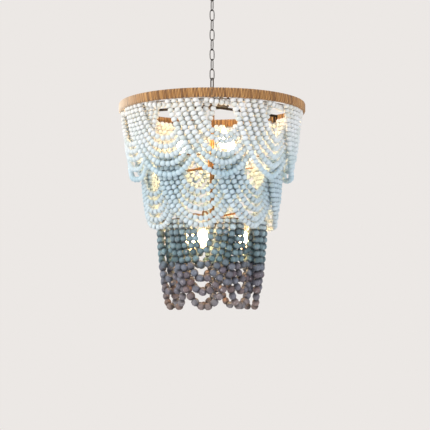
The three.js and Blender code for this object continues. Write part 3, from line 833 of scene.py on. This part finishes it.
# Lamps: candle bulbs of frosted warm glass on a rolled screw cap. They are lit, and their glow
# warms the beads and the rope from inside.
def lit_glass():
    """Glass that glows, most of all low in the bulb."""
    material, tree, shader = new_material("lit_frosted_glass")
    stops = [(0, 228, 168, 104), (0.25, 255, 216, 156), (0.5, 200, 158, 104), (0.72, 80, 60, 36)]
    glow = add_ramp(tree, reading(tree, "lamp_height"), *stops, (1, 36, 27, 15))
    feed(tree, shader, {"Emission Color": glow, "Emission Strength": 100})
    feed(tree, shader, {"Base Color": paint(255, 240, 214), "Roughness": 0.35})
    return material


cap_metal = metal("lamp_cap", (150, 128, 84), (206, 184, 132), 0.25, 0.4)
bulb_radius = 0.0175
bulb_length = 0.074
cap_radius = 0.007
cap_foot = bore_floor + clearance
bulb_foot = holder_length + clearance
bulb_form = [(0.02, 0.5), (0.14, 0.83), (0.32, 1), (0.5, 0.9), (0.68, 0.62), (0.85, 0.3)]
outline = [
    (cap_radius - 0.0006, bulb_foot - 0.002),
    *[(bulb_radius * width, bulb_foot + bulb_length * rise) for rise, width in bulb_form],
    (bulb_radius * 0.13, bulb_foot + bulb_length * 0.97),
    (0.0006, bulb_foot + bulb_length + 0.0016),
]
bulb = turned(outline, 16)
smooth = bulb.modifiers.new("blown", "SUBSURF")
smooth.levels = smooth.render_levels = 2
bpy.ops.object.modifier_apply(modifier="blown")
heights = [min(1, max(0, (v.co.z - bulb_foot) / bulb_length)) for v in bulb.data.vertices]
bulb.data.attributes.new("lamp_height", "FLOAT", "POINT").data.foreach_set("value", heights)
bulb.data.materials.append(lit_glass())
outline = [
    (cap_radius / 3, cap_foot),
    (cap_radius / 2, cap_foot + 0.001),
    (cap_radius - 0.0009, cap_foot + 0.003),
    *thread(cap_radius, 0.0007, lamp_pitch, bulb_foot - 0.001, cap_foot + 0.004)[::-1],
    (cap_radius - 0.0004, bulb_foot),
]
cap = turned(outline, 32)
cap.data.materials.append(cap_metal)
pattern_lamp = joined(cap, bulb)
for (level, number), spot in lamp_places.items():
    node = f"{level}_bulb_{number}"
    body = f"{level}_lamp_{number}"
    settle(lamp_copy(pattern_lamp, *spot), f"{node}_lamp", node, body=body)
bpy.data.objects.remove(pattern_lamp)


# Beads of the upper tier: turned wooden beads, painted off-white and rubbed back, on a cotton cord.
# Six nested strings make a group, laced over the rail, and each group laps over the next.
def hang_scale(half_width, drop):
    """The size of the hanging curve that drops this far over half its width."""
    low, high = half_width / 50, half_width**2 / drop + drop
    for _ in range(60):
        middle = (low + high) / 2
        if middle * (math.cosh(half_width / middle) - 1) > drop:
            low = middle
        else:
            high = middle
    return (low + high) / 2


class Strand:
    """One hanging string. Its left leg hangs outside the rail and its right leg inside, unless a
    side is given for both (1 outside, -1 inside). It may sit a little to one side of its group's
    middle, and a little further out or in."""

    def __init__(self, tier, span, drop, shift, stagger, side):
        self.tier, self.span, self.drop = tier, span, drop
        self.shift, self.stagger, self.side = shift, stagger, side
        self.scale = hang_scale(tier["radius"] * span, drop)
        reaches = [drop - first + self.scale for first in tier["first_beads"]]
        self.outer_top, self.inner_top = [math.sqrt(reach**2 - self.scale**2) for reach in reaches]

    def at(self, along):
        """The point this far along the string from its lowest point, and how far it hangs."""
        tier = self.tier
        fall = self.drop - (math.hypot(self.scale, along) - self.scale)
        bearing = self.scale * math.asinh(along / self.scale) / tier["radius"]
        crossing = tier["cross_share"] * 2 * math.pi / tier["groups"]
        cross = max(-1, min(1, bearing / crossing))
        side = -cross * (3 - cross * cross) / 2 if self.side is None else self.side
        drawn = 1 - tier["draw_in_share"] * max(0, fall / tier["drop"]) ** tier["draw_in_power"]
        radius = tier["radius"] * drawn + tier["layer"] * side + self.stagger * fall / tier["drop"]
        bearing += self.shift
        right, ahead = radius * math.sin(bearing), -radius * math.cos(bearing)
        return Vector((right, ahead, tier["level"] - fall)), fall


def wooden_bead(radius, length, sides):
    """A turned bead with rounded shoulders, flattened ends and a dimple at its hole."""
    half = [(0.42, 0.16), (0.5, 0.44), (0.35, 0.8)]
    form = [*[(-height, width) for height, width in half], (0, 1), *half[::-1]]
    return turned([(radius * width, length * height) for height, width in form], sides)


def bead_places(strand, tier):
    """Where the beads sit along a string, from end to end: (distance, kind)."""

    def kind_at(along):
        depth = strand.at(along)[1] / tier["drop"]
        return next(kind for until_share, kind in tier["kinds"] if depth <= until_share)

    along = -strand.outer_top
    kind = kind_at(along)
    places = [(along, kind)]
    while True:
        pitch = bead_pitches[kind]
        next_kind = kind_at(min(strand.inner_top, along + pitch))
        along += (pitch + bead_pitches[next_kind]) / 2
        if along > strand.inner_top + pitch / 2:
            break
        kind = next_kind
        places.append((along, kind))
    fit = (strand.outer_top + strand.inner_top) / (places[-1][0] + strand.outer_top)
    return [((along + strand.outer_top) * fit - strand.outer_top, kind) for along, kind in places]


def bead_swag(tier, number, bead_paint, cord_finish):
    """All the strings of one group, with the cord that runs through them and over the rail."""
    dice = random.Random(tier["seed"] + number)
    spacing = 2 * math.pi / tier["groups"]
    corners, faces, cord_points = [], [], []
    depths, tones, strays, ends, places = [], [], [], [], []

    def over_rail(bearing, side):
        off = (rail_wire + cord_off_rail) * math.sqrt(0.5)
        radius = tier["radius"] + side * off
        turn = (math.sin(bearing), -math.cos(bearing))
        cord_points.append(Vector((radius * turn[0], radius * turn[1], tier["level"] + off)))

    own = tier["own"].get(number, {})
    shares = list(zip(tier["span_shares"], own.get("drop_shares", tier["drop_shares"])))
    if number in tier["closed_groups"]:
        shares = sorted(shares + tier["closing_shares"])
    loose = tier["looseness"]
    strands = []
    for span, drop in shares:
        drop *= tier["drop"] * (1 - abs(dice.gauss(0, loose["drop_share"])))
        degrees = own.get("shift_degrees", 0) + dice.uniform(-1, 1) * loose["shift_degrees"]
        stagger = dice.uniform(-1, 1) * loose["stagger"]
        shift = math.radians(degrees)
        strands.append(Strand(tier, span * spacing, drop, shift, stagger, own.get("side")))
    over_rail(-strands[0].span, 1)
    for n, strand in enumerate(strands):
        way = 1 if n % 2 == 0 else -1
        for along, kind in bead_places(strand, tier)[::way]:
            point, fall = strand.at(along)
            ahead = (strand.at(along + 0.002)[0] - strand.at(along - 0.002)[0]).normalized()
            cord_points.append(point)
            pattern = bead_kinds[kind].data
            half_length = max(vertex.co.z for vertex in pattern.vertices)
            size = 1 + dice.uniform(-0.04, 0.02)
            wobble = Vector([dice.gauss(0, 0.05) for _ in range(3)])
            facing = (ahead + wobble).normalized().to_track_quat("Z", "X")
            spin = Quaternion((0, 0, 1), dice.uniform(0, 2 * math.pi))
            turned_bead = (facing @ spin).to_matrix() * size
            offset = Vector([dice.uniform(-1, 1) for _ in range(3)]) * grain_spread
            base = len(corners)
            tone, stray = dice.random(), dice.random()
            for vertex in pattern.vertices:
                corners.append(point + turned_bead @ vertex.co)
                places.extend(vertex.co * grain_scale + offset)
                # bead_end: the share from the bead's middle to its end, read by the painted shade
                # at the ends.
                ends.append(abs(vertex.co.z) / half_length)
                depths.append(fall / tier["drop"])
                tones.append(tone)
                strays.append(stray)
            faces.extend([base + i for i in face.vertices] for face in pattern.polygons)
        after = strands[min(n + 1, len(strands) - 1)]
        over_rail(way * (strand.span + after.span) / 2, -way)

    per_corner = {"bead_depth": depths, "bead_tone": tones, "bead_stray": strays, "bead_end": ends}
    beads = built("beads", corners, faces, per_corner)
    own_place = beads.data.attributes.new("bead_place", "FLOAT_VECTOR", "POINT")
    own_place.data.foreach_set("vector", places)
    beads.data.materials.append(bead_paint)
    line = bpy.data.curves.new("cord", "CURVE")
    line.dimensions = "3D"
    spline = line.splines.new("POLY")
    spline.points.add(len(cord_points) - 1)
    for spot, point in zip(spline.points, cord_points):
        spot.co = (*point, 1)
    line.bevel_depth = cord_radius
    line.bevel_resolution = 1
    line.use_fill_caps = True
    cord = bpy.data.objects.new("cord", line)
    bpy.context.collection.objects.link(cord)
    select_only(cord)
    bpy.ops.object.convert(target="MESH")
    cord.data.materials.append(cord_finish)
    swag = joined(cord, beads)
    swag.rotation_euler.z = math.radians(tier["first_bearing"]) + number * spacing
    name = tier["name"]
    settle(swag, f"{name}_beads_{number + 1}", f"{name}_swag_{number + 1}", crease=60)


def grain_group():
    """Brushed paint over turned wood: a streak mask, a rub mask and a bump, in each bead's own
    coordinates, so that every bead differs."""
    group, out = mask_group("painted_bead", "Streaks", "Rub")
    place = (add_node(group, "Attribute", attribute_name="bead_place"), "Vector")
    stretched = add_node(group, "Mapping", {"Vector": place, "Scale": (6, 6, 1.2)})
    streaks = add_noise(group, stretched, 1, 4)
    bump = add_bump(group, streaks, 0.35, 0.0006)
    feed(group, out, {"Streaks": streaks, "Rub": add_noise(group, place, 1.6, 3), "Normal": bump})
    return group


bead_grain = grain_group()


def bead_finish(name, stops, stray_stops, bare_wood, wear, streaks, tones, end_painted_shade, end_painted_shade_reach):
    """Painted beads whose colour runs down the tier through the stops. Each bead leans by its own
    amount towards the stray colours and is a little lighter or darker than its neighbours. The
    paint is rubbed through to the wood in places, and painted shade darkens each bead towards
    the ends where it meets its neighbours."""
    material, tree, shader = new_material(name)
    grain = add_node(tree, "Group", node_tree=bead_grain)
    depth = reading(tree, "bead_depth")
    leaning = add_math(tree, "POWER", reading(tree, "bead_stray"), 2)
    main, stray = add_ramp(tree, depth, *stops), add_ramp(tree, depth, *stray_stops)
    mixed = add_mix(tree, leaning, main, stray)
    worn = carried(tree, (grain, "Rub"), (0, 1), span=(1 - wear, 1.12 - wear))
    rubbed = add_mix(tree, worn, mixed, paint(*bare_wood))
    tone = carried(tree, reading(tree, "bead_tone"), (1 - tones, 1))
    streak = carried(tree, (grain, "Streaks"), (1 - streaks, 1 + streaks), span=(0.3, 0.7))
    # Painted shade: each bead darkens towards its ends, where it meets its neighbours on the
    # string.
    hole = carried(tree, reading(tree, "bead_end"), (1, end_painted_shade), span=(1 - end_painted_shade_reach, 1))
    shade = add_math(tree, "MULTIPLY", add_math(tree, "MULTIPLY", tone, streak), hole)
    brushed_and_end_shaded = add_mix(tree, 1, rubbed, shade, blend="MULTIPLY")
    polish = carried(tree, (grain, "Streaks"), (0.45, 0.75))
    looks = {"Base Color": brushed_and_end_shaded, "Roughness": polish, "Normal": (grain, "Normal")}
    feed(tree, shader, looks)
    return material


cotton = {"Roughness": 0.9}
pale_cord = mottled("undyed_cotton_cord", 900, (186, 178, 160), (222, 216, 202), cotton)
cord_radius = 0.0009
cord_off_rail = 0.0012
grain_scale = 60
grain_spread = 40
bead_kinds = {"flat": wooden_bead(0.0096, 0.0144, 8), "round": wooden_bead(0.0097, 0.0158, 8)}
bead_pitches = {"flat": 0.0148, "round": 0.0162}
white_paint = bead_finish(
    "off_white_bead_paint",
    [(0, 232, 232, 230), (0.45, 224, 229, 231), (0.8, 206, 220, 226), (1, 190, 211, 221)],
    [(0, 222, 222, 214), (0.5, 206, 216, 214), (1, 176, 202, 212)],
    bare_wood=(206, 196, 178),
    wear=0.3,
    streaks=0.05,
    tones=0.06,
    # Painted shade at the bead ends, where the beads meet, and how far up the bead it reaches.
    end_painted_shade=0.8,
    end_painted_shade_reach=0.25,
)
upper_tier = {
    "name": "upper",
    "radius": top_rail_radius,
    "level": top_rail_level,
    "groups": 9,
    "first_bearing": 7.5,
    "drop": 0.224,
    "span_shares": [0.325, 0.4375, 0.5475, 0.6575, 0.765, 0.875],
    "drop_shares": [0.05, 0.505, 0.615, 0.735, 0.86, 1],
    "own": {0: {"drop_shares": [0.05, 0.495, 0.567, 0.745, 0.85, 1]}},
    "closed_groups": {3, 4, 5, 6},
    "closing_shares": [(0.14, 0.18), (0.24, 0.29), (0.335, 0.4)],
    "draw_in_share": 0.125,
    "draw_in_power": 1.3,
    "cross_share": 0.2,
    "layer": 0.0103,
    "first_beads": (0.0035, 0),
    "kinds": [(0.42, "flat"), (2, "round")],
    "looseness": {"drop_share": 0.012, "shift_degrees": 0.25, "stagger": 0.003},
    "seed": 100,
}
for number in range(upper_tier["groups"]):
    bead_swag(upper_tier, number, white_paint, pale_cord)

# Beads of the middle tier: the same wooden beads in pale blue, in seven groups of five strings
# laced over the middle hoop. Three short strings more close each of the four rear groups.
blue_paint = bead_finish(
    "pale_blue_bead_paint",
    [(0, 204, 219, 226), (0.5, 192, 211, 221), (0.8, 202, 217, 225), (1, 210, 223, 228)],
    [(0, 186, 202, 206), (0.5, 180, 202, 210), (1, 202, 210, 210)],
    bare_wood=(190, 186, 172),
    wear=0.3,
    streaks=0.07,
    tones=0.12,
    # Painted shade at the bead ends, where the beads meet, and how far up the bead it reaches.
    end_painted_shade=0.5,
    end_painted_shade_reach=0.3,
)
# The cord is brown, and its dark tone also serves as painted shade in the gaps between the beads.
brown_cord_and_gap_shade = mottled("brown_cotton_cord_and_painted_gap_shade", 900, (84, 74, 62), (132, 120, 102), cotton)
low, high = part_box("middle_hoop")
middle_tier = {
    "name": "middle",
    "radius": middle_rail_radius,
    "level": (low.z + high.z) / 2,
    "groups": 7,
    "first_bearing": -10,
    "drop": 0.217,
    "span_shares": [0.416, 0.511, 0.607, 0.702, 0.797],
    "drop_shares": [0.53, 0.645, 0.774, 0.9, 1],
    "own": {},
    "closed_groups": {2, 3, 4, 5},
    "closing_shares": [(0.12, 0.14), (0.22, 0.27), (0.32, 0.4)],
    "draw_in_share": 0.1,
    "draw_in_power": 1.6,
    "cross_share": 0.175,
    "layer": 0.0103,
    "first_beads": (0.008, 0.008),
    "kinds": [(2, "round")],
    "looseness": {"drop_share": 0.012, "shift_degrees": 0.2, "stagger": 0.002},
    "seed": 200,
}
for number in range(middle_tier["groups"]):
    bead_swag(middle_tier, number, blue_paint, brown_cord_and_gap_shade)

# Beads of the lower tier: larger wooden beads stained teal, then still larger ones in slate towards
# the foot, with small pale beads at the top of each string, laced over the lower hoop.
bead_kinds["middling"] = wooden_bead(0.0109, 0.0206, 10)
bead_kinds["large"] = wooden_bead(0.0121, 0.0234, 10)
bead_pitches.update(middling=0.0216, large=0.0248)
teal_stain = bead_finish(
    "teal_to_slate_bead_stain",
    [
        (0, 206, 220, 226),
        (0.125, 190, 208, 214),
        (0.14, 140, 164, 172),
        (0.45, 118, 146, 154),
        (0.53, 112, 121, 134),
        (0.8, 120, 120, 132),
        (1, 136, 132, 134),
    ],
    [
        (0, 190, 204, 206),
        (0.125, 176, 196, 200),
        (0.14, 88, 108, 120),
        (0.45, 84, 112, 116),
        (0.55, 104, 88, 100),
        (0.8, 122, 98, 92),
        (1, 150, 120, 104),
    ],
    bare_wood=(164, 158, 160),
    wear=0.4,
    streaks=0.32,
    tones=0.3,
    # Painted shade at the bead ends, reaching far up the shoulders so that the beads look rounder.
    end_painted_shade=0.3,
    end_painted_shade_reach=0.6,
)
low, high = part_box("lower_hoop")
lower_tier = {
    "name": "lower",
    "radius": lower_rail_radius,
    "level": (low.z + high.z) / 2,
    "groups": 7,
    "first_bearing": -9,
    "drop": 0.279,
    "span_shares": [0.2, 0.345, 0.49, 0.64, 0.79],
    "drop_shares": [0.376, 0.523, 0.677, 0.824, 0.997],
    "own": {
        0: {"side": 1},
        1: {"side": -1, "shift_degrees": 7.2},
        2: {"shift_degrees": -0.6},
        3: {"shift_degrees": -0.6},
        6: {"shift_degrees": -7.2},
    },
    "closed_groups": {},
    "draw_in_share": 0.19,
    "draw_in_power": 2,
    "cross_share": 0.125,
    "layer": 0.0132,
    "first_beads": (0.008, 0.008),
    "kinds": [(0.12, "round"), (0.5, "middling"), (2, "large")],
    "looseness": {"drop_share": 0.006, "shift_degrees": 0.6, "stagger": 0.002},
    "seed": 300,
}
for number in range(lower_tier["groups"]):
    bead_swag(lower_tier, number, teal_stain, brown_cord_and_gap_shade)
for pattern_bead in bead_kinds.values():
    bpy.data.objects.remove(pattern_bead)

# Setting: a plain pale floor far below, which fades into the pale surroundings and is seen through
# from underneath, and soft daylight from the left with a weaker fill from the right.
backdrop = paint(236, 232, 229)
floor_level = -2.3
floor_reach = 3.4
select_only(camera)
bpy.ops.mesh.primitive_circle_add(
    vertices=96, radius=floor_reach, fill_type="NGON", location=(0, 0, floor_level)
)
floor = bpy.context.object
floor.name = "floor"
floor_finish, tree, shader = new_material("pale_floor")
feed(tree, shader, {"Base Color": backdrop, "Roughness": 0.9})
place = (add_node(tree, "TexCoord"), "Object")
distance = (add_node(tree, "VectorMath", {0: place}, operation="LENGTH"), "Value")
fade_span = (0.6, floor_reach * 0.95)
edge = carried(tree, distance, (0, 1), fade_span, interpolation_type="SMOOTHSTEP")
far = add_node(tree, "Emission", {"Color": backdrop})
blend = add_node(tree, "MixShader", {"Fac": edge, 1: shader, 2: far})
underside = (add_node(tree, "NewGeometry"), "Backfacing")
clear = add_node(tree, "BsdfTransparent")
seen = add_node(tree, "MixShader", {"Fac": underside, 1: blend, 2: clear})
feed(tree, tree.nodes["Material Output"], {"Surface": seen})
floor.data.materials.append(floor_finish)

world = bpy.data.worlds.new("pale_surroundings")
bpy.context.scene.world = world
world.use_nodes = True
tree = world.node_tree
daylight = tree.nodes["Background"]
feed(tree, daylight, {"Color": paint(250, 251, 255), "Strength": 0.95})
seen = add_node(tree, "Background", {"Color": backdrop})
rays = add_node(tree, "LightPath")
direct = add_math(tree, "MAXIMUM", (rays, "Is Camera Ray"), (rays, "Is Glossy Ray"))
clear = add_math(tree, "MAXIMUM", direct, (rays, "Is Transmission Ray"))
blend = add_node(tree, "MixShader", {"Fac": clear, 1: daylight, 2: seen})
feed(tree, tree.nodes["World Output"], {"Surface": blend})


def soft_light(name, place, power, size, tint):
    """A square soft light that faces the middle of the fitting."""
    select_only(camera)
    bpy.ops.object.light_add(type="AREA", location=place)
    light = bpy.context.object
    light.name = name
    light.data.size = size
    light.data.energy = power
    light.data.color = tint[:3]
    middle = Vector((0, 0, -0.75))
    light.rotation_euler = (middle - Vector(place)).to_track_quat("-Z", "Y").to_euler()


soft_light("window_light", (-2.7, -1.8, 0.3), 64, 2.2, paint(255, 252, 246))
soft_light("fill_light", (2.4, -2.6, -0.6), 22, 1.8, paint(240, 246, 255))

bpy.context.scene.view_settings.view_transform = "Standard"
